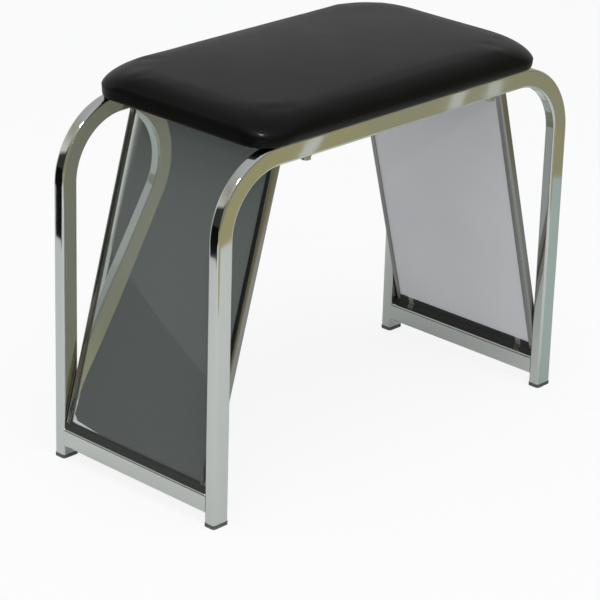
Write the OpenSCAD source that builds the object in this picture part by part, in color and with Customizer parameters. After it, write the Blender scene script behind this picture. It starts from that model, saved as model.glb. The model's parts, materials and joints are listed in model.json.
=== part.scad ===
// Shoe fitting stool: a padded seat on two bent tube side frames, with a sloping mirror at each end.
// Millimetres, X along the seat, Y across it, Z up. The origin is on the floor under the middle of the stool.

/* [Frame] */
// Length over the legs
frame_l = 570; // [500:5:660]
// Width over the two side frames
frame_w = 256; // [236:2:320]
// Height of the side frames, floor to the top of the tube
frame_h = 415; // [370:5:470]
// Depth of the side frame tube, in the plane of the frame
side_tube_d = 22; // [19:0.5:26]
// Width of the side frame tube, across the frame
side_tube_w = 15; // [13:0.5:20]
// Outer radius of the top bends
bend_r = 90; // [60:5:120]
// Wall of every tube
tube_wall = 1.5; // [1:0.1:2]
// Outer corner radius of every tube
tube_round = 3; // [2:0.25:4]

/* [Rails] */
// Height and depth of the square end rails
rail_size = 22; // [19:0.5:26]
// Floor to the underside of the end rails
rail_z = 15; // [12:1:40]
// Width of the upper rails under the seat
upper_rail_w = 15; // [12:0.5:20]
// Drop of the upper rails below the top of the side frames
upper_rail_drop = 1; // [1:0.25:3]

/* [Feet] */
// Thickness of a foot cap under the tube
foot_t = 4; // [3:0.5:8]
// How far a foot cap stands out past the tube on each side
foot_lip = 0.5; // [0.2:0.1:1]
// Length of the plug inside the tube
foot_plug = 14; // [10:1:25]

/* [Mirrors] */
// Lean of the mirrors from upright, top inwards, in degrees
lean = 15.3; // [12:0.1:17]
// Clear gap between a mirror and the side frame beside it
mirror_side_gap = 0.5; // [0.5:0.25:12]
// Gap from the outer face of an end rail to the foot of the mirror front
mirror_setback = 1.5; // [1.5:0.25:4]
// Height of the foot of the mirror front above the end rail
mirror_raise = 9; // [8:0.5:12]
// Gap between the top of the mirror and the underside of the seat
mirror_top_gap = 4; // [4:0.5:8]
// Depth of a side channel, front to back
channel_d = 12; // [10:0.5:15]
// Width of the lips of a side channel
channel_lip = 8; // [6:0.5:14]
// Metal thickness of a side channel
channel_t = 1.2; // [0.8:0.1:1.5]
// Radius of the outer corners of a side channel
channel_round = 3.5; // [2:0.25:4.5]
// Thickness of the mirror glass
glass_t = 4; // [3:0.5:5]
// Width of the bevel down each side of the glass
bevel_w = 16; // [10:1:25]
// Depth of the bevel at the edge of the glass
bevel_t = 1.6; // [0.5:0.1:2]
// Thickness of the sheet behind the mirror
back_sheet_t = 1; // [0.8:0.1:1.5]

/* [Mirror fixings] */
// Width of each clip
clip_w = 8; // [6:0.5:12]
// Metal thickness of each clip
clip_t = 1.1; // [0.8:0.1:1.2]
// Distance of the middle of a sill clip from the side of the mirror
sill_clip_in = 26; // [18:1:50]
// Width of each top clip
top_clip_w = 13; // [10:0.5:16]
// Distance of the middle of a top clip from the side of the mirror
top_clip_in = 30; // [18:1:50]
// Height of the back lip of the sill up the mirror
sill_back_lip = 8; // [5:0.5:12]
// Height of the front lip of the sill up the mirror
sill_front_lip = 2.5; // [2:0.25:5]
// Thread diameter of the self-tapping clip screws
clip_screw_d = 3.5; // [2.5:0.25:3.5]

/* [Seat] */
// Length of the seat at its widest level
seat_l = 456; // [420:2:480]
// How far the seat stands out past each side frame at its widest level
seat_overhang = 12; // [10:1:20]
// How far the ends draw in at the underside
seat_draw_l = 2; // [1:0.5:6]
// How far the long sides draw in at the underside
seat_draw_w = 11; // [5:0.5:11]
// Height of the widest level above the underside
seat_bulge_z = 12; // [9:0.5:15]
// Height of the padded edge above the underside
seat_edge_t = 32; // [30:0.5:45]
// Extra height of the middle of the seat
seat_crown = 5; // [2:0.5:10]
// Corner radius of the underside in plan
seat_base_r = 28; // [24:1:40]
// Corner radius of the widest level in plan
seat_mid_r = 42; // [30:1:60]
// Corner radius of the top face in plan
seat_top_r = 66; // [50:1:85]
// Horizontal run of the rounded top edge
seat_roll = 26; // [15:1:35]
// Thickness of the vinyl cover
cover_t = 1.2; // [0.8:0.1:1.6]
// Width of the cover's turned-under border at the ends
cover_turn = 34; // [30:1:40]
// Thickness of the plywood board
board_t = 12; // [9:0.5:15]
// Thickness of the dust cloth
cloth_t = 0.6; // [0.4:0.1:0.8]
// How far the dust cloth laps over the cover's border
cloth_lap = 12; // [9:0.5:14]
// Clear gap between the dust cloth and the side frames
cloth_gap = 6; // [2:0.5:12]

/* [Seat fixings] */
// Distance of the seat screws from the middle of the stool
seat_screw_x = 150; // [100:5:160]
// Thread diameter of the seat screws
seat_screw_d = 6; // [4:0.5:6]
// Crown length of a staple
staple_l = 10; // [8:0.5:12]
// Leg length of a staple
staple_leg = 8; // [6:0.5:9]
// Thickness of the staple wire
staple_t = 0.6; // [0.5:0.1:0.8]
// Number of staples along each long side
staples_long = 10; // [6:1:14]
// Number of staples along each end
staples_end = 5; // [3:1:7]

/* [Hidden] */
$fn = 48;

// Clearance between pieces that slide together
fit = 0.3;
// Extra length of every cut, past the face it goes through
over = 1;

// Places along the frame
half_l = frame_l / 2;
half_w = frame_w / 2;
inner_y = half_w - side_tube_w;
tube_y = half_w - side_tube_w / 2;
bend_x = half_l - bend_r;
bend_z = frame_h - bend_r;
rail_top = rail_z + rail_size;
upper_rail_top = frame_h - upper_rail_drop;
upper_rail_under = upper_rail_top - side_tube_d;

// Mirror: the front face leans through this point, and runs up to the gap below the seat
foot_x = half_l - mirror_setback;
foot_z = rail_top + mirror_raise;
mirror_h = (frame_h - mirror_top_gap - foot_z) / cos(lean);
mirror_half = inner_y - mirror_side_gap;
mirror_w = 2 * mirror_half;
sill_clip_y = mirror_half - sill_clip_in;
top_clip_y = mirror_half - top_clip_in;
glass_front = -channel_t;
stack_back = -channel_d + channel_t;
backing_t = channel_d - 2 * channel_t - glass_t - back_sheet_t;
stack_w = mirror_w - 2 * (channel_t + fit);
between_channels = mirror_w - 2 * (channel_lip + fit);

// Sill: lips lie on the glass and on the back sheet, the foot stands on the end rail
sill_lip_t = 1.4;
sill_flare = 1.5;
sill_notch = clip_w + 2 * fit;
sill_in = foot_x - channel_d - sill_lip_t - sill_flare;
sill_clip_out = foot_x - sill_lip_t - sill_flare;

// Clip screws: a low round head and a short thread
clip_head_d = 2 * clip_screw_d;
clip_head_t = 1.6;
clip_screw_l = 7;
clip_hole_d = clip_screw_d + fit;
sill_screw_share = 0.75;
sill_screw_x = foot_x - channel_d * sill_screw_share;

// Edge strip on top of the mirror
trim_t = 1;
trim_lip = 4;

// Top clips hook over that strip from the upper rail, which stands close behind it
hook_x = glass_front + trim_t;
hook_z = mirror_h + trim_t;
upper_rail_out = at_mirror(stack_back - trim_t, hook_z)[0] - clip_t - fit;
upper_rail_x = upper_rail_out - upper_rail_w / 2;

// Plug of a foot cap: a core with ribs that grip the bore
plug_gap = 1.2;
plug_rib_t = 1.5;
plug_ribs = 3;

// Seat levels, measured up from the top of the side frames
seat_z = frame_h;
seat_w = frame_w + 2 * seat_overhang;
seat_t = seat_edge_t + seat_crown;
board_z = seat_z + cover_t;
board_l = seat_l - 2 * (seat_draw_l + cover_t + fit);
board_w = seat_w - 2 * (seat_draw_w + cover_t + fit);
board_r = seat_base_r - cover_t - fit;
window_l = seat_l - 2 * (seat_draw_l + cover_turn);
window_w = 2 * (inner_y - cloth_gap - cloth_lap);
window_r = seat_base_r / 2;
foam_skirt = 4;
corner_steps = 6;

// Seat fixings
insert_d = 1.5 * seat_screw_d;
insert_skin = 1;
insert_l = board_t - insert_skin;
washer_d = 2 * seat_screw_d;
washer_t = 1.2;
screw_head_d = 1.8 * seat_screw_d;
screw_head_t = 0.6 * seat_screw_d;
screw_hole_d = seat_screw_d + 2 * fit;
staple_w = 1;
staple_long_y = (window_w + cloth_lap) / 2;
staple_end_x = (window_l + cloth_lap) / 2;
staple_run_share = 0.84;
staple_run_x = window_l * staple_run_share;
staple_run_y = window_w * staple_run_share;

// Colours
chrome = "#c9ccc9";
black_plastic = "#1c1d1e";
grey_plastic = "#4b5052";

// Rounded rectangle from exact squares and circles
module round_rect(w, h, r) {
    square([w - 2 * r, h], center = true);
    square([w, h - 2 * r], center = true);
    for (x = [-1, 1], y = [-1, 1])
        translate([x * (w / 2 - r), y * (h / 2 - r)]) circle(r);
}

// Section of a tube with its bore
module tube_section(w, h) {
    difference() {
        round_rect(w, h, tube_round);
        round_rect(w - 2 * tube_wall, h - 2 * tube_wall, tube_round - tube_wall);
    }
}

// One bent side frame in the XZ plane, centred on y = 0
module side_frame() {
    for (side = [-1, 1]) {
        translate([side * (half_l - side_tube_d / 2), 0, foot_t])
            linear_extrude(bend_z - foot_t) tube_section(side_tube_d, side_tube_w);
        translate([side * bend_x, 0, bend_z])
            mirror([side < 0 ? 1 : 0, 0, 0])
            rotate([90, 0, 0])
            rotate_extrude(angle = 90, $fn = 96)
            translate([bend_r - side_tube_d / 2, 0]) tube_section(side_tube_d, side_tube_w);
    }
    translate([-bend_x, 0, frame_h - side_tube_d / 2])
        rotate([0, 90, 0])
        linear_extrude(2 * bend_x) tube_section(side_tube_d, side_tube_w);
}

// A side frame with the two holes for its seat screws
module drilled_side_frame(side) {
    color(chrome)
        difference() {
            translate([0, side * tube_y, 0]) side_frame();
            for (x = [-1, 1])
                translate([x * seat_screw_x, side * tube_y, frame_h - side_tube_d - over])
                    cylinder(d = screw_hole_d, h = side_tube_d + 2 * over);
        }
}

// Straight rail across the stool between the side frames, centred on x = 0 and on its own middle height
module cross_rail(w, h) {
    rotate([90, 0, 0])
        linear_extrude(2 * inner_y, center = true) tube_section(w, h);
}

// End rail on the right, drilled in its top wall for the sill clip screws
module end_rail() {
    color(chrome)
        difference() {
            translate([half_l - rail_size / 2, 0, rail_z + rail_size / 2]) cross_rail(rail_size, rail_size);
            for (y = [-1, 1])
                translate([sill_screw_x, y * sill_clip_y, rail_top - tube_wall - over])
                    cylinder(d = clip_hole_d, h = tube_wall + 2 * over);
        }
}

// Upper rail on the right, drilled in its underside for the top clip screws
module upper_rail() {
    color(chrome)
        difference() {
            translate([upper_rail_x, 0, upper_rail_top - side_tube_d / 2])
                cross_rail(upper_rail_w, side_tube_d);
            for (y = [-1, 1])
                translate([upper_rail_x, y * top_clip_y, upper_rail_under - over])
                    cylinder(d = clip_hole_d, h = tube_wall + 2 * over);
        }
}

// Foot cap: a pad under the tube and a ribbed plug inside it
module foot(side_x, side_y) {
    bore_d = side_tube_d - 2 * tube_wall;
    bore_w = side_tube_w - 2 * tube_wall;
    bore_r = tube_round - tube_wall;
    color(grey_plastic)
        translate([side_x * (half_l - side_tube_d / 2), side_y * tube_y, 0]) {
            linear_extrude(foot_t)
                round_rect(side_tube_d + 2 * foot_lip, side_tube_w + 2 * foot_lip, tube_round + foot_lip);
            translate([0, 0, foot_t])
                linear_extrude(foot_plug)
                round_rect(bore_d - 2 * plug_gap, bore_w - 2 * plug_gap, bore_r);
            for (i = [1 : plug_ribs])
                translate([0, 0, foot_t + foot_plug * i / plug_ribs - plug_rib_t])
                    linear_extrude(plug_rib_t)
                    round_rect(bore_d - fit, bore_w - fit, bore_r);
        }
}

// Puts a piece drawn in the mirror's own frame in its place on the right:
// x is 0 on the front face and negative behind it, z runs up the mirror from its foot
module on_mirror() {
    translate([foot_x, 0, foot_z]) rotate([0, -lean, 0]) children();
}

// A point of the mirror's own frame in the XZ plane of the stool
function at_mirror(x, z) = [
    foot_x + x * cos(lean) - z * sin(lean),
    foot_z + x * sin(lean) + z * cos(lean)
];

// Extrudes an outline of the XZ plane across the stool
module across(w) {
    rotate([90, 0, 0]) linear_extrude(w, center = true) children();
}

// A point at x in the stool's frame, on the line square to the mirror at z up from its foot
function over_mirror(x, z) = [x, foot_z + (z + (x - foot_x) * sin(lean)) / cos(lean)];

// One flat layer of the mirror, from its front plane back
module mirror_layer(front, t) {
    on_mirror()
        translate([front - t, -stack_w / 2, 0]) cube([t, stack_w, mirror_h]);
}

// Mirror glass with a bevel down each side
module mirror_glass() {
    glass_back = glass_front - glass_t;
    color("#9fb0ad")
        on_mirror()
        linear_extrude(mirror_h)
        polygon([
            [glass_front, bevel_w - stack_w / 2],
            [glass_front, stack_w / 2 - bevel_w],
            [glass_front - bevel_t, stack_w / 2],
            [glass_back, stack_w / 2],
            [glass_back, -stack_w / 2],
            [glass_front - bevel_t, -stack_w / 2]
        ]);
}

module backing_board() {
    color("#8a6a48") mirror_layer(glass_front - glass_t, backing_t);
}

module back_sheet() {
    color("#b3b6ba") mirror_layer(stack_back + back_sheet_t, back_sheet_t);
}

// Side channel of the mirror: a U of folded metal with rounded outer corners
module side_channel(side) {
    color(chrome)
        on_mirror()
        mirror([0, side < 0 ? 1 : 0, 0])
        linear_extrude(mirror_h)
        difference() {
            union() {
                translate([-channel_d + channel_round, mirror_half - channel_lip])
                    square([channel_d - 2 * channel_round, channel_lip]);
                translate([-channel_d, mirror_half - channel_lip])
                    square([channel_d, channel_lip - channel_round]);
                for (x = [-channel_d + channel_round, -channel_round])
                    translate([x, mirror_half - channel_round]) circle(channel_round);
            }
            translate([stack_back, mirror_half - channel_lip - over])
                square([channel_d - 2 * channel_t, channel_lip + over - channel_t]);
        }
}

// Outline of the sill: a foot on the end rail, a sloping seat and two lips
module sill_outline() {
    polygon([
        [sill_in, rail_top],
        [foot_x, rail_top],
        at_mirror(0, 0),
        at_mirror(0, 0) + [0, fit],
        at_mirror(glass_front + sill_lip_t, sill_front_lip),
        at_mirror(glass_front, sill_front_lip),
        at_mirror(glass_front, 0),
        at_mirror(stack_back, 0),
        at_mirror(stack_back, sill_back_lip),
        at_mirror(stack_back - sill_lip_t, sill_back_lip),
        at_mirror(stack_back - sill_lip_t, 0)
    ]);
}

// Outline of the sill's foot alone, which also carries the ends of the side channels
module sill_foot_outline() {
    polygon([
        [sill_in, rail_top],
        [foot_x, rail_top],
        at_mirror(0, 0),
        at_mirror(-channel_d, 0)
    ]);
}

// Cushion strip under the mirror, with a slot for each clip and a pocket for its screw head
module sill() {
    color(black_plastic)
        difference() {
            union() {
                across(mirror_w) sill_foot_outline();
                across(between_channels) sill_outline();
            }
            for (y = [-1, 1])
                translate([0, y * sill_clip_y, 0]) {
                    across(sill_notch)
                        translate([sill_in - over, rail_top - over])
                        square([sill_clip_out + fit - sill_in + over, clip_t + over]);
                    across(sill_notch) sill_clip_channel();
                    translate([sill_screw_x, 0, rail_top - over])
                        cylinder(d = clip_head_d + fit, h = clip_t + clip_head_t + fit + over);
                }
        }
}

// Room that a sill clip's tab takes out of the back of the sill
module sill_clip_channel() {
    polygon([
        [sill_in - over, rail_top - over],
        [sill_in + clip_t + 2 * fit, rail_top - over],
        at_mirror(stack_back + fit, 0),
        at_mirror(stack_back + fit, sill_back_lip + over),
        at_mirror(stack_back - sill_lip_t - over, sill_back_lip + over)
    ]);
}

// Outline of a sill clip: a base on the end rail under the sill, and a tab up the back of the mirror
module sill_clip_outline() {
    polygon([
        [sill_in + fit, rail_top],
        [sill_clip_out, rail_top],
        [sill_clip_out, rail_top + clip_t],
        [sill_in + clip_t + fit, rail_top + clip_t],
        at_mirror(stack_back, 0),
        at_mirror(stack_back, sill_back_lip - fit),
        at_mirror(stack_back - clip_t, sill_back_lip - fit),
        at_mirror(stack_back - clip_t, 0)
    ]);
}

module sill_clips() {
    color(chrome)
        for (y = [-1, 1])
            translate([0, y * sill_clip_y, 0])
                difference() {
                    across(clip_w) sill_clip_outline();
                    translate([sill_screw_x, 0, rail_top - over])
                        cylinder(d = clip_hole_d, h = clip_t + 2 * over);
                }
}

// Round-headed screw, thread down from z = 0
module clip_screw() {
    cylinder(d = clip_head_d, h = clip_head_t);
    translate([0, 0, -clip_screw_l]) cylinder(d = clip_screw_d, h = clip_screw_l);
}

module sill_clip_screws() {
    color("silver")
        for (y = [-1, 1])
            translate([sill_screw_x, y * sill_clip_y, rail_top + clip_t]) clip_screw();
}

// Outline of a top clip: it runs under the upper rail, up behind the mirror and over its edge strip
module top_clip_outline() {
    rail_in = upper_rail_x - upper_rail_w / 2 + fit;
    polygon([
        [rail_in, upper_rail_under],
        [upper_rail_out, upper_rail_under],
        over_mirror(upper_rail_out, hook_z + clip_t),
        at_mirror(hook_x + clip_t, hook_z + clip_t),
        at_mirror(hook_x + clip_t, mirror_h - trim_lip),
        at_mirror(hook_x, mirror_h - trim_lip),
        at_mirror(hook_x, hook_z),
        over_mirror(upper_rail_out + clip_t, hook_z),
        [upper_rail_out + clip_t, upper_rail_under - clip_t],
        [rail_in, upper_rail_under - clip_t]
    ]);
}

module top_clips() {
    color(chrome)
        for (y = [-1, 1])
            translate([0, y * top_clip_y, 0])
                difference() {
                    across(top_clip_w) top_clip_outline();
                    translate([upper_rail_x, 0, upper_rail_under - clip_t - over])
                        cylinder(d = clip_hole_d, h = clip_t + 2 * over);
                }
}

module top_clip_screws() {
    color("silver")
        for (y = [-1, 1])
            translate([upper_rail_x, y * top_clip_y, upper_rail_under - clip_t])
                mirror([0, 0, 1]) clip_screw();
}

// Edge strip over the top of the mirror, between the side channels
module top_trim() {
    color(black_plastic)
        on_mirror()
        translate([0, -between_channels / 2, 0])
        difference() {
            translate([stack_back - trim_t, 0, mirror_h - trim_lip])
                cube([glass_front - stack_back + 2 * trim_t, between_channels, trim_lip + trim_t]);
            translate([stack_back, -over, mirror_h - trim_lip - over])
                cube([glass_front - stack_back, between_channels + 2 * over, trim_lip + over]);
        }
}

// Mirrors a piece of the right end to the left one
module to_end(side) {
    mirror([side < 0 ? 1 : 0, 0, 0]) children();
}

// Points of a rounded rectangle at height z, corner by corner
function plan_ring(l, w, r, z) = [
    for (corner = [0 : 3], i = [0 : corner_steps])
        let (
            a = 90 * (corner + i / corner_steps),
            sx = corner == 0 || corner == 3 ? 1 : -1,
            sy = corner < 2 ? 1 : -1
        )
        [sx * (l / 2 - r) + r * cos(a), sy * (w / 2 - r) + r * sin(a), z]
];

// Levels of the cushion as [draw-in of the ends, draw-in of the sides, corner radius, height, scale]:
// the underside swells out to the widest level, rolls over to the top face, and rises to the crown
under_steps = 4;
roll_steps = 6;
crown_steps = 4;
roll_end = 84;
seat_levels = [
    for (i = [0 : under_steps - 1])
        let (a = 90 * i / under_steps)
        [seat_draw_l * (1 - sin(a)), seat_draw_w * (1 - sin(a)),
            seat_base_r + (seat_mid_r - seat_base_r) * sin(a), seat_bulge_z * (1 - cos(a)), 1],
    for (i = [0 : roll_steps])
        let (a = roll_end * i / roll_steps)
        [seat_roll * (1 - cos(a)), seat_roll * (1 - cos(a)),
            seat_mid_r + (seat_top_r - seat_mid_r) * sin(a),
            seat_bulge_z + (seat_edge_t - seat_bulge_z) * sin(a), 1],
    for (i = [1 : crown_steps])
        let (s = i / (crown_steps + 0.5))
        [seat_roll * (1 - cos(roll_end)), seat_roll * (1 - cos(roll_end)), seat_top_r,
            seat_edge_t + seat_crown * (1 - (1 - s) * (1 - s)), 1 - s]
];

// The cushion's form, drawn in by a skin thickness on every side
module cushion_form(skin) {
    lift = (seat_t - 2 * skin) / seat_t;
    rings = [
        for (v = seat_levels)
            plan_ring(
                (seat_l - 2 * (v[0] + skin)) * v[4],
                (seat_w - 2 * (v[1] + skin)) * v[4],
                (v[2] - skin) * v[4],
                seat_z + skin + v[3] * lift
            )
    ];
    n = len(rings[0]);
    m = len(rings);
    polyhedron(
        points = [for (ring = rings, p = ring) p],
        faces = [
            [for (i = [0 : n - 1]) i],
            [for (i = [n - 1 : -1 : 0]) (m - 1) * n + i],
            for (k = [0 : m - 2], i = [0 : n - 1])
                let (j = (i + 1) % n)
                each [
                    [k * n + i, (k + 1) * n + i, (k + 1) * n + j],
                    [k * n + i, (k + 1) * n + j, k * n + j]
                ]
        ]
    );
}

// Rounded plate lying flat, its underside at height z
module plate(l, w, r, z, t) {
    translate([0, 0, z]) linear_extrude(t) round_rect(l, w, r);
}

// Places at the four seat screws
module at_seat_screws() {
    for (x = [-1, 1], y = [-1, 1])
        translate([x * seat_screw_x, y * tube_y, 0]) children();
}

// Places at the staples, with the crown along x
module at_staples() {
    for (i = [0 : staples_long - 1], y = [-1, 1])
        translate([staple_run_x * (i / (staples_long - 1) - 0.5), y * staple_long_y, 0]) children();
    for (i = [0 : staples_end - 1], x = [-1, 1])
        translate([x * staple_end_x, staple_run_y * (i / (staples_end - 1) - 0.5), 0])
            rotate(90) children();
}

// Slot that a staple presses into the cover and the cloth, and bites into the board
module staple_slot(z, t) {
    translate([-staple_l / 2 - fit / 2, -staple_w / 2 - fit / 2, z])
        cube([staple_l + fit, staple_w + fit, t]);
}

module seat_board() {
    color("#b98d5c")
        difference() {
            plate(board_l, board_w, board_r, board_z, board_t);
            at_seat_screws()
                translate([0, 0, board_z - over]) cylinder(d = insert_d, h = insert_l + over);
            at_staples() staple_slot(board_z - over, staple_leg + over);
        }
}

module seat_foam() {
    color("#e6dcb4")
        difference() {
            cushion_form(cover_t + fit);
            plate(board_l, board_w, board_r, seat_z - over, cover_t + board_t + over);
            plate(seat_l, seat_w, seat_base_r, seat_z - over, foam_skirt + over);
        }
}

module seat_cover() {
    color("#2a2a2b")
        difference() {
            cushion_form(0);
            cushion_form(cover_t);
            plate(window_l, window_w, window_r, seat_z - over, cover_t + 2 * over);
            at_seat_screws()
                translate([0, 0, seat_z - over]) cylinder(d = screw_hole_d, h = cover_t + 2 * over, $fn = 24);
            at_staples() staple_slot(seat_z - over, cover_t + 2 * over);
        }
}

module dust_cloth() {
    color("#39393b")
        difference() {
            plate(window_l + 2 * cloth_lap, window_w + 2 * cloth_lap, window_r + cloth_lap,
                seat_z - cloth_t, cloth_t);
            at_staples() staple_slot(seat_z - cloth_t - over, cloth_t + 2 * over);
        }
}

// Staples: the crown under the cloth, two legs up into the board
module seat_staples() {
    under = seat_z - cloth_t - staple_t;
    leg_top = board_z + staple_leg - fit;
    color("silver")
        at_staples() {
            translate([-staple_l / 2, -staple_w / 2, under]) cube([staple_l, staple_w, staple_t]);
            for (x = [-staple_l / 2, staple_l / 2 - staple_t])
                translate([x, -staple_w / 2, under]) cube([staple_t, staple_w, leg_top - under]);
        }
}

module seat_inserts() {
    color("#c9b36a")
        at_seat_screws()
        translate([0, 0, board_z])
        difference() {
            cylinder(d = insert_d, h = insert_l);
            translate([0, 0, -over]) cylinder(d = seat_screw_d + fit / 2, h = insert_l + 2 * over);
        }
}

// Seat screws: a low head under the rail and a shank up into the insert
module seat_screws() {
    head_z = frame_h - side_tube_d - washer_t - screw_head_t;
    color("silver")
        at_seat_screws()
        translate([0, 0, head_z])
        difference() {
            union() {
                cylinder(d = screw_head_d, h = screw_head_t);
                cylinder(d = seat_screw_d, h = board_z + insert_l - fit - head_z);
            }
            translate([0, 0, -over])
                cylinder(d = screw_head_d / 2, h = screw_head_t / 2 + over, $fn = 6);
        }
}

module seat_washers() {
    color("silver")
        at_seat_screws()
        translate([0, 0, frame_h - side_tube_d - washer_t])
        difference() {
            cylinder(d = washer_d, h = washer_t);
            translate([0, 0, -over]) cylinder(d = screw_hole_d, h = washer_t + 2 * over);
        }
}

drilled_side_frame(-1);  // front_side_frame
drilled_side_frame(1);  // rear_side_frame
to_end(-1) end_rail();  // left_end_rail
to_end(1) end_rail();  // right_end_rail
to_end(-1) upper_rail();  // left_upper_rail
to_end(1) upper_rail();  // right_upper_rail
foot(-1, -1);  // front_left_foot
foot(1, -1);  // front_right_foot
foot(-1, 1);  // rear_left_foot
foot(1, 1);  // rear_right_foot
to_end(-1) mirror_glass();  // left_mirror_glass
to_end(-1) backing_board();  // left_backing_board
to_end(-1) back_sheet();  // left_back_sheet
to_end(-1) side_channel(-1);  // left_front_channel
to_end(-1) side_channel(1);  // left_rear_channel
to_end(-1) sill();  // left_sill
to_end(-1) top_trim();  // left_top_trim
to_end(-1) sill_clips();  // left_sill_clips
to_end(-1) sill_clip_screws();  // left_sill_clip_screws
to_end(-1) top_clips();  // left_top_clips
to_end(-1) top_clip_screws();  // left_top_clip_screws
to_end(1) mirror_glass();  // right_mirror_glass
to_end(1) backing_board();  // right_backing_board
to_end(1) back_sheet();  // right_back_sheet
to_end(1) side_channel(-1);  // right_front_channel
to_end(1) side_channel(1);  // right_rear_channel
to_end(1) sill();  // right_sill
to_end(1) top_trim();  // right_top_trim
to_end(1) sill_clips();  // right_sill_clips
to_end(1) sill_clip_screws();  // right_sill_clip_screws
to_end(1) top_clips();  // right_top_clips
to_end(1) top_clip_screws();  // right_top_clip_screws
seat_board();
seat_foam();
seat_cover();
dust_cloth();
seat_staples();
seat_inserts();
seat_screws();
seat_washers();
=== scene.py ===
# Looks of a shoe fitting stool: chromed tube frames, a leaning mirror at each end and a black vinyl seat.
# Lengths are in metres, X along the seat, Y across it, Z up, with the origin on the floor under the middle.
import json
import math

import bpy
from mathutils import Matrix, Vector
from mathutils.kdtree import KDTree


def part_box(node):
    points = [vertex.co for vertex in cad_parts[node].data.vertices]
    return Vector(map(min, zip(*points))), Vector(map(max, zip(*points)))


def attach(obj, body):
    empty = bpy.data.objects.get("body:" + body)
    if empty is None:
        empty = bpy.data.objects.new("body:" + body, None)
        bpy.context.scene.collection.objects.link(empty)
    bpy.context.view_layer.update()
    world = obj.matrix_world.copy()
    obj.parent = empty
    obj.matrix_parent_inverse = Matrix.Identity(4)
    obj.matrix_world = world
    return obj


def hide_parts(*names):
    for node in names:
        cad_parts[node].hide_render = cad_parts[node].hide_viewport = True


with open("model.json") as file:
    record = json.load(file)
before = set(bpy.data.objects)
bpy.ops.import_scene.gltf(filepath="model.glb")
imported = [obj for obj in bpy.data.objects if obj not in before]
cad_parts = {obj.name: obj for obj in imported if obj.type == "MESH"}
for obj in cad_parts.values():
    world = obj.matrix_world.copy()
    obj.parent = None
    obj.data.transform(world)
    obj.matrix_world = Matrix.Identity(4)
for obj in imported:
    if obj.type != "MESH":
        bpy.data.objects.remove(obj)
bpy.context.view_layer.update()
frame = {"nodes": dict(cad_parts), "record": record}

MM = 0.001
BODY = "root"

# Sizes of the frame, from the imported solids
frame_low, frame_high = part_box("front_side_frame")
rear_low, rear_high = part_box("rear_side_frame")
upper_low, upper_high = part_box("right_upper_rail")
seat_low, seat_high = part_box("seat_cover")
cloth_low, cloth_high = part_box("dust_cloth")
TUBE_DEPTH = upper_high.z - upper_low.z
TUBE_WIDTH = frame_high.y - frame_low.y
BEND_RADIUS = 90 * MM
TUBE_ROUND = 3 * MM
BEAD_RADIUS = 0.9 * MM
BEND_STEPS = 40
CORNER_STEPS = 6
BEAD_SIDES = 12

# Sizes of the seat: how each level draws in, and how it rounds over
SEAT_LENGTH = seat_high.x - seat_low.x
SEAT_WIDTH = seat_high.y - seat_low.y
SEAT_UNDER = seat_low.z
SEAT_THICKNESS = seat_high.z - seat_low.z
DRAW_ENDS = 2 * MM
DRAW_SIDES = 11 * MM
BULGE_HEIGHT = 12 * MM
CROWN = 5 * MM
EDGE_HEIGHT = SEAT_THICKNESS - CROWN
ROLL = 26 * MM
BASE_CORNER = 28 * MM
BULGE_CORNER = 42 * MM
TOP_CORNER = 66 * MM
LEAST_CORNER = 1 * MM
CROWN_POWER = 0.6
ROLL_END = math.radians(84)
INMOST = 2 * MM

# Pleats under the corners: places and width as shares of the corner's arc, depth, and how far in they reach
PLEATS = (0.14, 0.32, 0.5, 0.68, 0.86)
PLEAT_WIDTH = 0.035
PLEAT_DEPTH = 1.1 * MM
PLEAT_REACH = 34 * MM

# Simulation of the tight vinyl: its slack and mesh, the height below which it is stapled, and the foam's pressure
SLACK = 0.8 * MM
SKIN_MESH = 6 * MM
STAPLED_HEIGHT = 2 * MM
FOAM_PRESSURE = 4
LAST_FRAME = 20
NEIGHBOURS = 8

# Sizes of the dust cloth: how deep it sags, and how far from its edges and the rails the sag starts
SHEET_THICKNESS = 0.5 * MM
SHEET_CORNER = 26 * MM
SHEET_RINGS = 16
SAG = 2.2 * MM
SAG_FROM_RAIL = 8 * MM
SAG_FROM_EDGE = 14 * MM

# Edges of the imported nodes: loose corners closer than the gap are one, and flatter edges than the angle are smooth
WELD_GAP = 0.002 * MM
SOFT_ANGLE = math.radians(30)
SHARP_ANGLE = math.radians(40)
ROUNDED = {"_foot": 1.0 * MM, "_channel": 0.25 * MM, "_sill": 0.5 * MM, "_trim": 0.25 * MM, "_clips": 0.2 * MM}

# Camera, found from the outlines of the frame in the photograph
CAMERA_AZIMUTH = math.radians(-46.763)
CAMERA_ELEVATION = math.radians(22.314)
CAMERA_ROLL = math.radians(-1.701)
CAMERA_DISTANCE = 3.1072
CAMERA_TARGET = Vector((0, 0, 0.2075))
CAMERA_ASIDE = -0.0167
CAMERA_ABOVE = -0.0544
FOCAL_PIXELS = 2716.1
PICTURE_PIXELS = 600
SENSOR = 36


def linear(code):
    """The linear colour of an sRGB hex code, with an alpha of 1."""
    parts = [int(code[i:i + 2], 16) / 255 for i in (1, 3, 5)]
    return tuple(p / 12.92 if p <= 0.04045 else ((p + 0.055) / 1.055) ** 2.4 for p in parts) + (1.0,)


def node(tree, kind, inputs=None, **settings):
    """Adds a node with its settings. Each input is a value, or the output of another node."""
    made = tree.nodes.new(kind)
    for name, value in settings.items():
        setattr(made, name, value)
    for name, value in (inputs or {}).items():
        if isinstance(value, bpy.types.NodeSocket):
            tree.links.new(value, made.inputs[name])
        else:
            made.inputs[name].default_value = value
    return made


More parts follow.
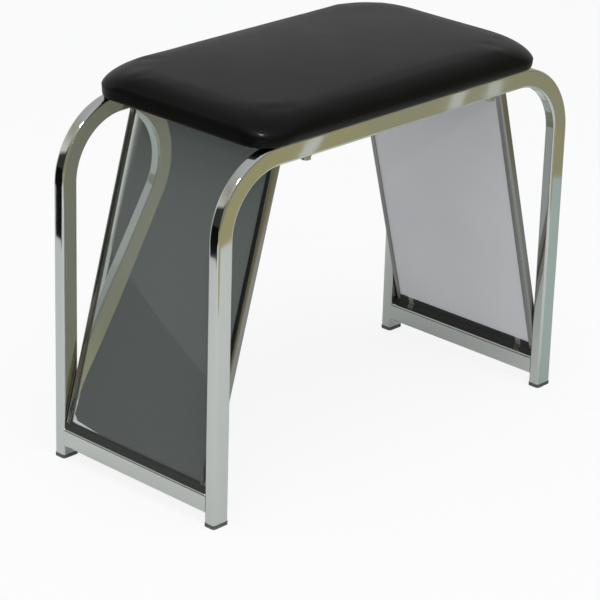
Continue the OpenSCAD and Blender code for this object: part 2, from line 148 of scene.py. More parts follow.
def new_material(name, colour, roughness, metallic=0.0):
    """A material with its shader's constants set, and its tree, shader and place on the object in metres."""
    made = bpy.data.materials.new(name)
    made.use_nodes = True
    tree = made.node_tree
    shader = tree.nodes["Principled BSDF"]
    shader.inputs["Base Color"].default_value = linear(colour)
    shader.inputs["Roughness"].default_value = roughness
    shader.inputs["Metallic"].default_value = metallic
    made.diffuse_color = linear(colour)
    place = node(tree, "ShaderNodeTexCoord").outputs["Object"]
    return made, tree, shader, place


def noise(tree, place, size, detail=2.0, stretch=(1, 1, 1)):
    """Noise with features of about the given size in metres, stretched along each axis."""
    mapping = node(tree, "ShaderNodeMapping", {"Vector": place, "Scale": [1 / (size * s) for s in stretch]})
    made = node(tree, "ShaderNodeTexNoise", {"Vector": mapping.outputs["Vector"], "Scale": 1.0, "Detail": detail})
    return made.outputs["Fac"]


def spread(tree, value, low, high, from_low=0.3, from_high=0.7):
    """Maps a pattern's middle range onto low to high."""
    made = node(tree, "ShaderNodeMapRange", {
        "Value": value, "From Min": from_low, "From Max": from_high, "To Min": low, "To Max": high})
    return made.outputs["Result"]


def mixed(tree, share, first, second):
    """A colour between two, by a share from 0 to 1."""
    made = node(tree, "ShaderNodeMix", {"Factor": share}, data_type="RGBA")
    for name, value in (("A", first), ("B", second)):
        socket = next(s for s in made.inputs if s.name == name and s.type == "RGBA")
        if isinstance(value, bpy.types.NodeSocket):
            tree.links.new(value, socket)
        else:
            socket.default_value = value
    return next(s for s in made.outputs if s.type == "RGBA")


def add_bump(tree, shader, *heights):
    """Bumps one on top of the other: each is a pattern and its depth in metres."""
    normal = None
    for pattern, depth in heights:
        inputs = {"Height": pattern, "Distance": depth, "Strength": 1.0}
        if normal is not None:
            inputs["Normal"] = normal
        normal = node(tree, "ShaderNodeBump", inputs).outputs["Normal"]
    tree.links.new(normal, shader.inputs["Normal"])


def chrome_plate():
    """Nickel and chrome plate on polished steel tube: a mirror with a faint haze and slow waves from polishing."""
    made, tree, shader, place = new_material("chrome_plate", "#d2d4d1", 0.07, metallic=1.0)
    haze = noise(tree, place, 60 * MM, detail=4)
    tree.links.new(spread(tree, haze, 0.03, 0.07), shader.inputs["Roughness"])
    add_bump(tree, shader, (noise(tree, place, 28 * MM, detail=1), 0.04 * MM))
    return made


def bright_strip():
    """Folded stainless strip, polished along its length: a softer mirror with fine lines."""
    made, tree, shader, place = new_material("bright_strip", "#959390", 0.14, metallic=1.0)
    lines = noise(tree, place, 1.2 * MM, detail=2, stretch=(1, 1, 60))
    tree.links.new(spread(tree, lines, 0.11, 0.2), shader.inputs["Roughness"])
    add_bump(tree, shader, (noise(tree, place, 35 * MM, detail=1), 0.08 * MM))
    return made


def silvered_glass():
    """Float glass silvered on its back: a clear mirror with a green cast and faint wiping marks."""
    made, tree, shader, place = new_material("silvered_glass", "#cfd6d2", 0.02, metallic=0.8)
    smears = noise(tree, place, 45 * MM, detail=5, stretch=(1, 2, 1))
    tree.links.new(spread(tree, smears, 0.012, 0.03, 0.45, 0.75), shader.inputs["Roughness"])
    return made


def black_vinyl():
    """PVC-coated upholstery cloth with an embossed leather grain, drawn coarser than life so that it shows."""
    made, tree, shader, place = new_material("black_vinyl", "#0c0c0c", 0.36)
    shader.inputs["Specular IOR Level"].default_value = 0.07
    shader.inputs["Coat Weight"].default_value = 0.1
    shader.inputs["Coat Roughness"].default_value = 0.1
    cells = node(tree, "ShaderNodeTexVoronoi", {"Vector": place, "Scale": 1 / (1.8 * MM)},
                 feature="DISTANCE_TO_EDGE")
    creases = spread(tree, cells.outputs["Distance"], 0.0, 1.0, 0.0, 0.28)
    pores = noise(tree, place, 0.9 * MM, detail=3)
    wear = noise(tree, place, 70 * MM, detail=4)
    tree.links.new(spread(tree, wear, 0.33, 0.39), shader.inputs["Roughness"])
    tint = mixed(tree, spread(tree, wear, 0.0, 1.0), linear("#0a0a0a"), linear("#0f0f0e"))
    tree.links.new(tint, shader.inputs["Base Color"])
    add_bump(tree, shader, (creases, 0.03 * MM), (pores, 0.015 * MM))
    return made


def grey_back_sheet():
    """Satin grey polystyrene sheet with a faint orange peel."""
    made, tree, shader, place = new_material("grey_back_sheet", "#eeeff2", 0.45)
    cloud = noise(tree, place, 120 * MM, detail=3)
    tint = mixed(tree, spread(tree, cloud, 0.0, 1.0), linear("#ebecef"), linear("#f1f2f5"))
    tree.links.new(tint, shader.inputs["Base Color"])
    add_bump(tree, shader, (noise(tree, place, 2.5 * MM, detail=2), 0.03 * MM))
    return made


def black_strip():
    """Extruded black PVC, satin, with faint lines along the strip."""
    made, tree, shader, place = new_material("black_strip", "#1b1c1d", 0.5)
    lines = noise(tree, place, 1.0 * MM, detail=2, stretch=(1, 80, 1))
    tree.links.new(spread(tree, lines, 0.42, 0.6), shader.inputs["Roughness"])
    add_bump(tree, shader, (lines, 0.02 * MM))
    return made


def moulded_foot():
    """Moulded dark grey polyethylene, matt, scuffed pale near the floor."""
    made, tree, shader, place = new_material("moulded_foot", "#565b5c", 0.6)
    height = node(tree, "ShaderNodeSeparateXYZ", {"Vector": place}).outputs["Z"]
    low = spread(tree, height, 1.0, 0.0, 0.0, 3 * MM)
    scuffs = spread(tree, noise(tree, place, 2 * MM, detail=4), 0.0, 1.0, 0.45, 0.65)
    both = node(tree, "ShaderNodeMath", {0: low, 1: scuffs}, operation="MULTIPLY").outputs["Value"]
    tree.links.new(mixed(tree, both, linear("#565b5c"), linear("#858a8b")), shader.inputs["Base Color"])
    add_bump(tree, shader, (noise(tree, place, 0.7 * MM, detail=2), 0.03 * MM))
    return made


def zinc_plate():
    """Bright zinc-plated steel of screws, washers and staples: soft and slightly mottled."""
    made, tree, shader, place = new_material("zinc_plate", "#b9bcc0", 0.3, metallic=1.0)
    spots = noise(tree, place, 1.5 * MM, detail=3)
    tree.links.new(spread(tree, spots, 0.22, 0.42), shader.inputs["Roughness"])
    return made


def spun_cloth():
    """Spun-bonded black cover cloth: a matt felt of fine fibres with pressed dots."""
    made, tree, shader, place = new_material("spun_cloth", "#29292b", 0.9)
    dots = node(tree, "ShaderNodeTexVoronoi", {"Vector": place, "Scale": 1 / (2.4 * MM)}, feature="F1")
    pressed = spread(tree, dots.outputs["Distance"], 0.0, 1.0, 0.15, 0.4)
    fibres = noise(tree, place, 0.8 * MM, detail=4, stretch=(3, 1, 1))
    tree.links.new(mixed(tree, pressed, linear("#1e1e20"), linear("#333336")), shader.inputs["Base Color"])
    add_bump(tree, shader, (pressed, 0.08 * MM), (fibres, 0.06 * MM))
    return made


def hardboard():
    """Pressed wood fibre, brown with darker flecks."""
    made, tree, shader, place = new_material("hardboard", "#7c5a3c", 0.8)
    flecks = noise(tree, place, 1.5 * MM, detail=5)
    tree.links.new(mixed(tree, spread(tree, flecks, 0.0, 1.0), linear("#6a4a30"), linear("#8d6a49")),
                   shader.inputs["Base Color"])
    add_bump(tree, shader, (flecks, 0.05 * MM))
    return made


def plywood():
    """Raw birch plywood: pale veneer with long grain, and glue lines across its edge."""
    made, tree, shader, place = new_material("plywood", "#c9a877", 0.7)
    grain = noise(tree, place, 3 * MM, detail=4, stretch=(18, 1, 1))
    veneer = mixed(tree, spread(tree, grain, 0.0, 1.0), linear("#b9935f"), linear("#d5b688"))
    height = node(tree, "ShaderNodeSeparateXYZ", {"Vector": place}).outputs["Z"]
    ply = node(tree, "ShaderNodeMath", {0: height, 1: 1 / (3 * MM)}, operation="MULTIPLY").outputs["Value"]
    layer = node(tree, "ShaderNodeMath", {0: ply}, operation="FRACT").outputs["Value"]
    glue = spread(tree, layer, 1.0, 0.0, 0.0, 0.12)
    tree.links.new(mixed(tree, glue, veneer, linear("#6d4b2a")), shader.inputs["Base Color"])
    add_bump(tree, shader, (grain, 0.05 * MM))
    return made


def upholstery_foam():
    """Open-cell polyurethane foam, cream, with fine pores, each painted darker in its pit as painted shade."""
    made, tree, shader, place = new_material("upholstery_foam", "#e3d7a8", 0.95)
    cells = node(tree, "ShaderNodeTexVoronoi", {"Vector": place, "Scale": 1 / (1.5 * MM)}, feature="F1")
    # Painted shade: the colour is darker towards each cell's middle, where the bump sinks the pores.
    tree.links.new(mixed(tree, cells.outputs["Distance"], linear("#b8a873"), linear("#ece2b8")),
                   shader.inputs["Base Color"])
    add_bump(tree, shader, (cells.outputs["Distance"], 0.3 * MM))
    return made


def turned_brass():
    """Turned brass with fine tool lines."""
    made, tree, shader, place = new_material("turned_brass", "#c8a35a", 0.3, metallic=1.0)
    lines = noise(tree, place, 0.3 * MM, detail=2, stretch=(40, 40, 1))
    tree.links.new(spread(tree, lines, 0.22, 0.4), shader.inputs["Roughness"])
    return made


def dress_cad_nodes(finishes):
    """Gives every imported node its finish, by the record's slot of that node."""
    slots = {row["node"]: row["material_slot"] for row in frame["record"]["subparts"]}
    for name, piece in frame["nodes"].items():
        piece.data.materials.clear()
        piece.data.materials.append(finishes[slots[name]])


def mesh_object(name, points, faces):
    """A smooth mesh object from its points and faces."""
    mesh = bpy.data.meshes.new(name)
    mesh.from_pydata(points, [], faces)
    mesh.update()
    mesh.shade_smooth()
    made = bpy.data.objects.new(name, mesh)
    bpy.context.scene.collection.objects.link(made)
    return made


def size_tree(name, sizes):
    """An empty geometry tree that takes a material and the named sizes, and gives geometry."""
    tree = bpy.data.node_groups.new(name, "GeometryNodeTree")
    tree.interface.new_socket("Geometry", in_out="OUTPUT", socket_type="NodeSocketGeometry")
    tree.interface.new_socket("Finish", in_out="INPUT", socket_type="NodeSocketMaterial")
    for size in sizes:
        tree.interface.new_socket(size, in_out="INPUT", socket_type="NodeSocketFloat")
    return tree, node(tree, "NodeGroupInput").outputs


def end_tree(tree, geometry, finish):
    """Ends a tree in real geometry with smooth faces and its material."""
    real = node(tree, "GeometryNodeRealizeInstances", {"Geometry": geometry}).outputs["Geometry"]
    smooth = node(tree, "GeometryNodeSetShadeSmooth", {"Geometry": real}).outputs["Geometry"]
    dressed = node(tree, "GeometryNodeSetMaterial", {"Geometry": smooth, "Material": finish})
    node(tree, "NodeGroupOutput", {"Geometry": dressed.outputs["Geometry"]})


def grow(name, tree, finish, sizes):
    """Makes a piece from a geometry tree and its sizes, as a plain mesh at the origin."""
    seed = bpy.data.objects.new(name + "_seed", bpy.data.meshes.new(name + "_seed"))
    bpy.context.scene.collection.objects.link(seed)
    modifier = seed.modifiers.new("grow", "NODES")
    modifier.node_group = tree
    for socket in tree.interface.items_tree:
        if socket.in_out == "INPUT":
            modifier[socket.identifier] = finish if socket.name == "Finish" else sizes[socket.name]
    mesh = bpy.data.meshes.new_from_object(seed.evaluated_get(bpy.context.evaluated_depsgraph_get()))
    bpy.data.objects.remove(seed)
    mesh.name = name
    made = bpy.data.objects.new(name, mesh)
    bpy.context.scene.collection.objects.link(made)
    return made


def math_node(tree, operation, first, second=0.0):
    """The result of one operation on two values."""
    return node(tree, "ShaderNodeMath", {0: first, 1: second}, operation=operation).outputs["Value"]


def rounded_section(tree, width, height, radius):
    """The closed outline of a tube's section, with rounded corners."""
    flat = node(tree, "GeometryNodeCurvePrimitiveQuadrilateral", {"Width": width, "Height": height},
                mode="RECTANGLE")
    return node(tree, "GeometryNodeFilletCurve", {
        "Curve": flat.outputs["Curve"], "Count": CORNER_STEPS, "Radius": radius}, mode="POLY").outputs["Curve"]


def bent_tube_tree():
    """A rectangular tube bent twice into an inverted U, standing in the XZ plane."""
    tree, sizes = size_tree("bent_tube", ["Length", "Foot", "Height", "Bend", "Depth", "Width", "Round", "Side"])
    half_depth = math_node(tree, "DIVIDE", sizes["Depth"], 2.0)
    reach = math_node(tree, "SUBTRACT", math_node(tree, "DIVIDE", sizes["Length"], 2.0), half_depth)
    back = math_node(tree, "MULTIPLY", reach, -1.0)
    top = math_node(tree, "SUBTRACT", sizes["Height"], half_depth)
    corners = {}
    for number, (x, z) in enumerate([(back, sizes["Foot"]), (back, top), (reach, top), (reach, sizes["Foot"])]):
        corner = node(tree, "ShaderNodeCombineXYZ", {"X": x, "Y": sizes["Side"], "Z": z})
        corners[f"Point {number + 1}"] = corner.outputs["Vector"]
    box = node(tree, "GeometryNodeCurvePrimitiveQuadrilateral", corners, mode="POINTS").outputs["Curve"]
    path = node(tree, "GeometryNodeSetSplineCyclic", {"Geometry": box, "Cyclic": False}).outputs["Geometry"]
    middle = math_node(tree, "SUBTRACT", sizes["Bend"], half_depth)
    bent = node(tree, "GeometryNodeFilletCurve", {
        "Curve": path, "Count": BEND_STEPS, "Radius": middle}, mode="POLY")
    section = rounded_section(tree, sizes["Depth"], sizes["Width"], sizes["Round"])
    tube = node(tree, "GeometryNodeCurveToMesh", {
        "Curve": bent.outputs["Curve"], "Profile Curve": section, "Fill Caps": True})
    end_tree(tree, tube.outputs["Mesh"], sizes["Finish"])
    return tree


def side_frame(tree, name, cad_node, low, high, finish):
    """One side frame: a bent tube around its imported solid."""
    made = grow(name, tree, finish, {
        "Length": high.x - low.x, "Foot": low.z, "Height": high.z, "Bend": BEND_RADIUS,
        "Depth": TUBE_DEPTH, "Width": TUBE_WIDTH, "Round": TUBE_ROUND, "Side": (low.y + high.y) / 2})
    made.data.set_sharp_from_angle(angle=SHARP_ANGLE)
    normals = made.modifiers.new("flat_faces", "WEIGHTED_NORMAL")
    normals.keep_sharp = True
    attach(made, BODY)
    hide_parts(cad_node)
    return made


def weld_bead_tree():
    """A ground weld: a round bead along the outline of a rail's end, in the XZ plane."""
    tree, sizes = size_tree("weld_bead", ["Width", "Height", "Round", "Bead", "X", "Y", "Z"])
    outline = rounded_section(tree, sizes["Width"], sizes["Height"], sizes["Round"])
    section = node(tree, "GeometryNodeCurvePrimitiveCircle", {"Resolution": BEAD_SIDES, "Radius": sizes["Bead"]})
    bead = node(tree, "GeometryNodeCurveToMesh", {
        "Curve": outline, "Profile Curve": section.outputs["Curve"]}).outputs["Mesh"]
    place = node(tree, "ShaderNodeCombineXYZ", {"X": sizes["X"], "Y": sizes["Y"], "Z": sizes["Z"]})
    stood = node(tree, "GeometryNodeTransform", {
        "Geometry": bead, "Translation": place.outputs["Vector"], "Rotation": (math.radians(90), 0, 0)})
    end_tree(tree, stood.outputs["Geometry"], sizes["Finish"])
    return tree


def weld_beads(tree, finish):
    """The ground welds where the four rails meet the side frames."""
    for rail in ("left_end_rail", "right_end_rail", "left_upper_rail", "right_upper_rail"):
        low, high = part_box(rail)
        for side, y in (("front", low.y), ("rear", high.y)):
            bead = grow(f"{rail}_{side}_weld", tree, finish, {
                "Width": high.x - low.x - BEAD_RADIUS, "Height": high.z - low.z - BEAD_RADIUS,
                "Round": TUBE_ROUND, "Bead": BEAD_RADIUS,
                "X": (low.x + high.x) / 2, "Y": y, "Z": (low.z + high.z) / 2})
            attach(bead, BODY)


def outline_points(length, width, radius, count):
    """Points round a rounded rectangle from the middle of its right end, three times as dense in the corners.

    Each is x, y and the share of its corner's arc that lies behind it, or None on a straight run.
    """
    straight_x, straight_y = length / 2 - radius, width / 2 - radius
    arc = radius * math.pi / 2
    runs = [straight_y, arc, 2 * straight_x, arc, 2 * straight_y, arc, 2 * straight_x, arc, straight_y]
    shares = [3 * run if number % 2 else run for number, run in enumerate(runs)]
    points = []
    for i in range(count):
        s = sum(shares) * i / count
        run = 0
        while s > shares[run] and run < len(runs) - 1:
            s -= shares[run]
            run += 1
        quarter = (run + 1) // 2
        turn = Matrix.Rotation(quarter * math.pi / 2, 2)
        if run % 2:
            corner = [(1, 1), (-1, 1), (-1, -1), (1, -1)][run // 2]
            behind = s / shares[run]
            angle = (run // 2 + behind) * math.pi / 2
            points.append((corner[0] * straight_x + radius * math.cos(angle),
                           corner[1] * straight_y + radius * math.sin(angle), behind))
        else:
            start = [(length / 2, 0), (straight_x, width / 2), (-length / 2, straight_y),
                     (-straight_x, -width / 2), (length / 2, -straight_y)][run // 2]
            along = turn @ Vector((0, 1))
            points.append((start[0] + along.x * s, start[1] + along.y * s, None))
    return points


def pleat(behind):
    """How deep the gathered vinyl folds in at a place in a corner, from 0 to 1."""
    if behind is None:
        return 0.0
    return max(math.exp(-((behind - place) / PLEAT_WIDTH) ** 2) for place in PLEATS)


def eased(height, reach):
    """A share from 0 at no height to 1 at the reach."""
    return min(1.0, max(0.0, height / reach))


def closed_rings(name, points, around):
    """A smooth closed mesh through rings of points, with a face over its first and last ring."""
    rings = len(points) // around
    faces = []
    for k in range(rings - 1):
        for i in range(around):
            j = (i + 1) % around
            faces.append((k * around + i, k * around + j, (k + 1) * around + j, (k + 1) * around + i))
    faces.append(list(reversed(range(around))))
    faces.append([(rings - 1) * around + i for i in range(around)])
    return mesh_object(name, points, faces)


def pad_form(name, around=288):
    """The seat's closed form: rings from the middle of its underside, over the edge, to the middle of its top.

    The vinyl is turned under, and gathered in pleats at the corners.
    """
    rings = []
    base_steps, edge_steps, roll_steps, top_steps = 14, 8, 12, 16
    for i in range(base_steps):
        draw = (1 - i / base_steps) * (SEAT_WIDTH / 2 - DRAW_SIDES - INMOST)
        fold = max(0.0, 1 - draw / PLEAT_REACH)
        rings.append((DRAW_ENDS + draw, DRAW_SIDES + draw, max(BASE_CORNER - draw, LEAST_CORNER), 0.0, fold))
    for i in range(edge_steps):
        a = math.pi / 2 * i / edge_steps
        rings.append((DRAW_ENDS * (1 - math.sin(a)), DRAW_SIDES * (1 - math.sin(a)),
                      BASE_CORNER + (BULGE_CORNER - BASE_CORNER) * math.sin(a), BULGE_HEIGHT * (1 - math.cos(a)),
                      math.cos(a) ** 2))
    for i in range(roll_steps + 1):
        a = ROLL_END * i / roll_steps
        draw = ROLL * (1 - math.cos(a))
        rings.append((draw, draw, BULGE_CORNER + (TOP_CORNER - BULGE_CORNER) * math.sin(a),
                      BULGE_HEIGHT + (EDGE_HEIGHT - BULGE_HEIGHT) * math.sin(a), 0.0))
    inner = ROLL * (1 - math.cos(ROLL_END))
    reach = SEAT_WIDTH / 2 - inner - INMOST
    for i in range(1, top_steps + 1):
        s = i / top_steps
        draw = inner + reach * s
        rings.append((draw, draw, max(TOP_CORNER - reach * s, LEAST_CORNER), None, 0.0))
    points = []
    half_l, half_w = SEAT_LENGTH / 2 - inner, SEAT_WIDTH / 2 - inner
    for ends, sides, corner, height, fold in rings:
        for x, y, behind in outline_points(SEAT_LENGTH - 2 * ends, SEAT_WIDTH - 2 * sides, corner, around):
            if height is None:
                fall = (1 - (x / half_l) ** 2) * (1 - (y / half_w) ** 2)
                z = EDGE_HEIGHT + CROWN * max(fall, 0.0) ** CROWN_POWER
            else:
                z = height + PLEAT_DEPTH * fold * pleat(behind)
            points.append((x, y, SEAT_UNDER + z))
    return closed_rings(name, points, around)


def swell(pad):
    """Lets the vinyl pull tight over its foam: drawn in by its slack, then swollen as cloth under pressure.

    The cloth is a remeshed copy, held where it is stapled to the board, and the pad follows it.
    """
    for vertex, normal in zip(pad.data.vertices, [v.normal.copy() for v in pad.data.vertices]):
        vertex.co -= normal * SLACK * eased(vertex.co.z - SEAT_UNDER - 1 * MM, 6 * MM)
    cloth = pad.copy()
    cloth.data = pad.data.copy()
    bpy.context.scene.collection.objects.link(cloth)
    remesh = cloth.modifiers.new("remesh", "REMESH")
    remesh.mode = "VOXEL"
    remesh.voxel_size = SKIN_MESH
    coarse = bpy.data.meshes.new_from_object(cloth.evaluated_get(bpy.context.evaluated_depsgraph_get()))
    cloth.modifiers.clear()
    cloth.data = coarse
    start = [v.co.copy() for v in coarse.vertices]
    outward = [v.normal.copy() for v in coarse.vertices]
    stapled = cloth.vertex_groups.new(name="stapled")
    stapled.add([i for i, co in enumerate(start) if co.z < SEAT_UNDER + STAPLED_HEIGHT], 1.0, "REPLACE")
    skin = cloth.modifiers.new("skin", "CLOTH")
    skin.settings.vertex_group_mass = "stapled"
    skin.settings.use_pressure = True
    skin.settings.uniform_pressure_force = FOAM_PRESSURE
    skin.settings.effector_weights.gravity = 0
    for number in range(1, LAST_FRAME + 1):
        bpy.context.scene.frame_set(number)
    end = cloth.evaluated_get(bpy.context.evaluated_depsgraph_get()).data
    moves = []
    for place, normal, vertex in zip(start, outward, end.vertices):
        moves.append(normal * min(SLACK, max(0.0, normal.dot(vertex.co - place))))
    bpy.context.scene.frame_set(1)
    tree = KDTree(len(start))
    for i, place in enumerate(start):
        tree.insert(place, i)
    tree.balance()
    for vertex in pad.data.vertices:
        near = [(moves[i], 1 / (distance + 2 * MM)) for _, i, distance in tree.find_n(vertex.co, NEIGHBOURS)]
        free = eased(vertex.co.z - SEAT_UNDER - 0.5 * MM, 4 * MM)
        vertex.co += sum((move * share for move, share in near), Vector()) * free / sum(share for _, share in near)
    bpy.data.objects.remove(cloth)


def seat_pad(finish):
    """The padded seat: foam under tight vinyl."""
    pad = pad_form("seat_pad")
    swell(pad)
    pad.data.materials.append(finish)
    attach(pad, BODY)
    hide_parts("seat_cover", "seat_foam")
    return pad


def under_cloth(finish, around=144):
    """The dust cloth stapled under the seat: thin black cloth that sags a little between the rails."""
    length, width = cloth_high.x - cloth_low.x, cloth_high.y - cloth_low.y
    reach = width / 2 - INMOST
    slack_x, slack_y = upper_low.x - SAG_FROM_RAIL, width / 2 - SAG_FROM_EDGE
    rings = SHEET_RINGS + 1
    inwards, outwards = [1 - i / SHEET_RINGS for i in range(rings)], [i / SHEET_RINGS for i in range(rings)]
    points = []
    for thickness, shares in ((0.0, inwards), (SHEET_THICKNESS, outwards)):
        for share in shares:
            draw = reach * (1 - share)
            corner = max(SHEET_CORNER - draw, LEAST_CORNER)
            for x, y, _ in outline_points(length - 2 * draw, width - 2 * draw, corner, around):
                hang = max(0.0, 1 - (x / slack_x) ** 2) * max(0.0, 1 - (y / slack_y) ** 2)
                waves = 1 + 0.25 * math.sin(x / (31 * MM)) * math.sin(y / (23 * MM) + 1)
                points.append((x, y, cloth_high.z - thickness - SAG * hang * waves))
    made = closed_rings("under_cloth", points[rings * around:] + points[:rings * around], around)
    made.data.materials.append(finish)
    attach(made, BODY)
    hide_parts("dust_cloth")
    return made


def soft_edge_tree():
    """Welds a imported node's loose triangles, and shades it smooth but for its real edges."""
    tree = bpy.data.node_groups.new("soft_edges", "GeometryNodeTree")
    tree.interface.new_socket("Geometry", in_out="OUTPUT", socket_type="NodeSocketGeometry")
    tree.interface.new_socket("Geometry", in_out="INPUT", socket_type="NodeSocketGeometry")
    loose = node(tree, "NodeGroupInput").outputs["Geometry"]
    welded = node(tree, "GeometryNodeMergeByDistance", {"Geometry": loose, "Distance": WELD_GAP})
    smooth = node(tree, "GeometryNodeSetShadeSmooth", {"Geometry": welded.outputs["Geometry"]}, domain="FACE")
    angle = node(tree, "GeometryNodeInputMeshEdgeAngle").outputs["Unsigned Angle"]
    soft = math_node(tree, "LESS_THAN", angle, SOFT_ANGLE)
    edges = node(tree, "GeometryNodeSetShadeSmooth", {
        "Geometry": smooth.outputs["Geometry"], "Shade Smooth": soft}, domain="EDGE")
    node(tree, "NodeGroupOutput", {"Geometry": edges.outputs["Geometry"]})
    return tree


def soften_cad_nodes():
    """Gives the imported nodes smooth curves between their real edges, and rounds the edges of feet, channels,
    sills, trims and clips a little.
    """
    tree = soft_edge_tree()
    for name, piece in frame["nodes"].items():
        piece.modifiers.new("soft_edges", "NODES").node_group = tree
        width = next((size for end, size in ROUNDED.items() if name.endswith(end)), None)
        if width:
            edges = piece.modifiers.new("rounded_edges", "BEVEL")
            edges.width = width
            edges.segments = 3
            edges.limit_method = "ANGLE"
            edges.angle_limit = SHARP_ANGLE
            edges.harden_normals = True


def floor_paint(name, mirrored):
    """Pale paper to the eye. Chrome and glass may see another colour there, where the studio floor shows."""
    made = bpy.data.materials.new(name)
    made.use_nodes = True
    tree = made.node_tree
    shader = tree.nodes["Principled BSDF"]
    shader.inputs["Roughness"].default_value = 0.9
    shader.inputs["Specular IOR Level"].default_value = 0.0
    path = node(tree, "ShaderNodeLightPath").outputs
    tint = mixed(tree, path["Is Diffuse Ray"], linear("#f4f4f4"), linear("#c4c4c2"))
    tint = mixed(tree, path["Is Glossy Ray"], tint, linear(mirrored))
    tree.links.new(tint, shader.inputs["Base Color"])
    white = node(tree, "ShaderNodeEmission", {"Color": (1, 1, 1, 1), "Strength": 1.0}).outputs["Emission"]
    share = node(tree, "ShaderNodeMath", {0: path["Is Camera Ray"], 1: 0.85}, operation="MULTIPLY")
    both = node(tree, "ShaderNodeMixShader", {0: share.outputs["Value"], 1: shader.outputs["BSDF"], 2: white})
    tree.links.new(both.outputs["Shader"], tree.nodes["Material Output"].inputs["Surface"])
    return made


def floor():
    """A wide pale floor. In reflections it is a sheet of paper on a darker floor, as on the legs in the photograph.

    Strips of card lie on it, which show only as light bands on the front tube and a cooler tone low on a leg.
    """
    paper = [(-1.47, -0.72, 0), (0.62, -0.72, 0), (0.62, 1.4, 0), (-0.32, 1.4, 0), (-0.73, 0.65, 0)]
    around = [(-14, -14, 0), (14, -14, 0), (14, 14, 0), (-12.2, 14, 0), (-14, 14, 0), (-14, 1, 0)]
    faces = [(0, 1, 2, 3, 4), (0, 10, 5, 6, 1), (1, 6, 7, 2), (2, 7, 8, 4, 3), (4, 8, 9, 10, 0)]
    made = mesh_object("floor", paper + around, faces)
    for name, mirrored in (("paper", "#e6e8e6"), ("boards_front", "#b6af86"), ("boards_right", "#b0ab8c"),
                           ("boards_rear", "#dcdcd8"), ("boards_left", "#161715")):
        made.data.materials.append(floor_paint(name, mirrored))
    for face in made.data.polygons:
        face.material_index = face.index
    slips = [(1.04, -0.926, 0.09, 0.011), (1.132, -0.929, 0.09, 0.011), (0.709, -0.932, 0.09, 0.012),
             (0.573, -0.362, 0.379, 0.08)]
    lie_x, lie_y, height = 0.77, -0.64, 0.0003
    points, faces = [], []
    for x, y, reach, half in slips:
        for along, across in ((reach, -half), (reach, half), (-reach, half), (-reach, -half)):
            points.append((x + lie_x * along - lie_y * across, y + lie_y * along + lie_x * across, height))
        faces.append([len(points) - 4 + i for i in range(4)])
    offcuts = mesh_object("floor_slips", points, faces)
    offcuts.data.materials.append(floor_paint("slips", "#e2e2da"))
    offcuts.data.materials.append(floor_paint("card", "#c0cfc9"))
    offcuts.data.polygons[len(slips) - 1].material_index = 1


def room():
    """The world: even pale light, white behind the stool, and a dim room of walls and ceiling in reflections."""
    world = bpy.data.worlds.new("room")
    bpy.context.scene.world = world
    world.use_nodes = True
    tree = world.node_tree
    towards = node(tree, "ShaderNodeTexCoord").outputs["Generated"]
    height = node(tree, "ShaderNodeSeparateXYZ", {"Vector": towards}).outputs["Z"]

    def facing(direction, low, high):
        dot = node(tree, "ShaderNodeVectorMath", {0: towards, 1: direction}, operation="DOT_PRODUCT")
        return spread(tree, dot.outputs["Value"], 0.0, 1.0, low, high)

    walls = mixed(tree, facing((-0.42, 0.91, 0), 0.8, 0.95), linear("#96937e"), linear("#f2f2ee"))
    walls = mixed(tree, facing((-0.94, 0.342, 0), 0.848, 0.875), walls, linear("#363b38"))
    walls = mixed(tree, facing((0.67, 0.64, 0), 0.3, 0.9), walls, linear("#cacaca"))
    seen = mixed(tree, spread(tree, height, 0.0, 1.0, 0.45, 0.8), walls, linear("#c4c6c8"))
    path = node(tree, "ShaderNodeLightPath").outputs
    light = mixed(tree, path["Is Glossy Ray"], linear("#cfd1d3"), seen)
    light = mixed(tree, path["Is Camera Ray"], light, (1, 1, 1, 1))
    tree.links.new(light, tree.nodes["Background"].inputs["Color"])
    tree.nodes["Background"].inputs["Strength"].default_value = 1.0


def lamp(name, place, target, size, power):
    """A soft lamp that shines at a target."""
    light = bpy.data.lights.new(name, "AREA")
    light.shape = "RECTANGLE"
    light.size, light.size_y = size
    light.energy = power
    made = bpy.data.objects.new(name, light)
    made.location = place
    made.rotation_euler = (Vector(target) - Vector(place)).to_track_quat("-Z", "Y").to_euler()
    made.visible_camera = False
    bpy.context.scene.collection.objects.link(made)
    return made


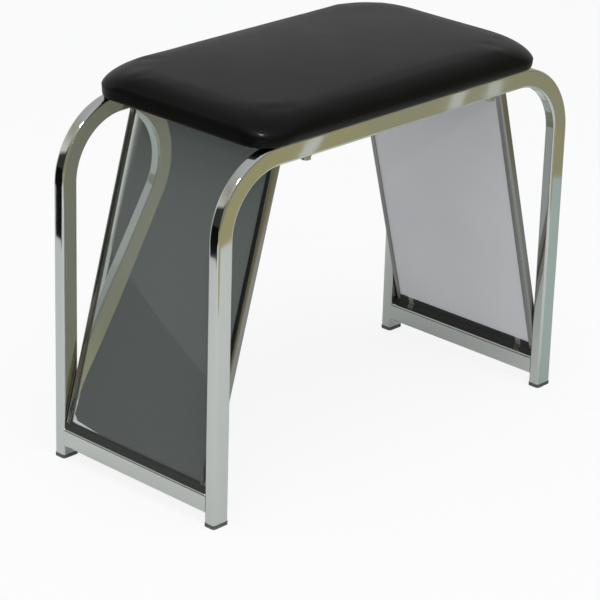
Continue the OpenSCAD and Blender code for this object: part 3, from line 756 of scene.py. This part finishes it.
def studio():
    """Plain soft light: the pale room, a large lamp overhead, and a small one beside the camera.

    A third, faint lamp only glints on the rounded corner of the vinyl.
    """
    room()
    lamp("overhead", (-0.6, -0.8, 2.6), (0, 0, 0.3), (1.8, 1.8), 26).visible_glossy = False
    lamp("by_camera", (-1.9, -1.9, 1.75), (0, 0, 0.3), (0.03, 0.03), 4.5)
    lamp("glint", (-1.47, -0.62, 2.65), (-0.22, -0.12, 0.43), (0.34, 0.34), 22).visible_diffuse = False
    floor()


def camera():
    """The camera of the photograph, turned, tipped and set aside as its outlines say."""
    a, e = CAMERA_AZIMUTH, CAMERA_ELEVATION
    right = Vector((math.cos(a), math.sin(a), 0))
    back = Vector((math.sin(a) * math.cos(e), -math.cos(a) * math.cos(e), math.sin(e)))
    up = back.cross(right)
    c, s = math.cos(CAMERA_ROLL), math.sin(CAMERA_ROLL)
    lens = bpy.data.cameras.new("camera")
    lens.sensor_width = SENSOR
    lens.lens = FOCAL_PIXELS / PICTURE_PIXELS * SENSOR
    made = bpy.data.objects.new("camera", lens)
    place = CAMERA_TARGET + back * CAMERA_DISTANCE + right * CAMERA_ASIDE + up * CAMERA_ABOVE
    turn = Matrix((c * right - s * up, s * right + c * up, back)).transposed()
    made.matrix_world = Matrix.Translation(place) @ turn.to_4x4()
    bpy.context.scene.collection.objects.link(made)
    bpy.context.scene.camera = made


camera()
chrome = chrome_plate()
vinyl = black_vinyl()
cloth = spun_cloth()
dress_cad_nodes({
    "chrome_tube": chrome, "bright_trim": bright_strip(), "mirror_glass": silvered_glass(),
    "hardboard": hardboard(), "back_sheet": grey_back_sheet(), "black_plastic": black_strip(),
    "foot_plastic": moulded_foot(), "vinyl": vinyl, "plywood": plywood(), "foam": upholstery_foam(),
    "dust_cloth": cloth, "zinc_steel": zinc_plate(), "brass": turned_brass()})
bent_tube = bent_tube_tree()
side_frame(bent_tube, "front_tube", "front_side_frame", frame_low, frame_high, chrome)
side_frame(bent_tube, "rear_tube", "rear_side_frame", rear_low, rear_high, chrome)
weld_beads(weld_bead_tree(), chrome)
seat_pad(vinyl)
under_cloth(cloth)
soften_cad_nodes()
studio()

bpy.context.scene.view_settings.view_transform = "Standard"
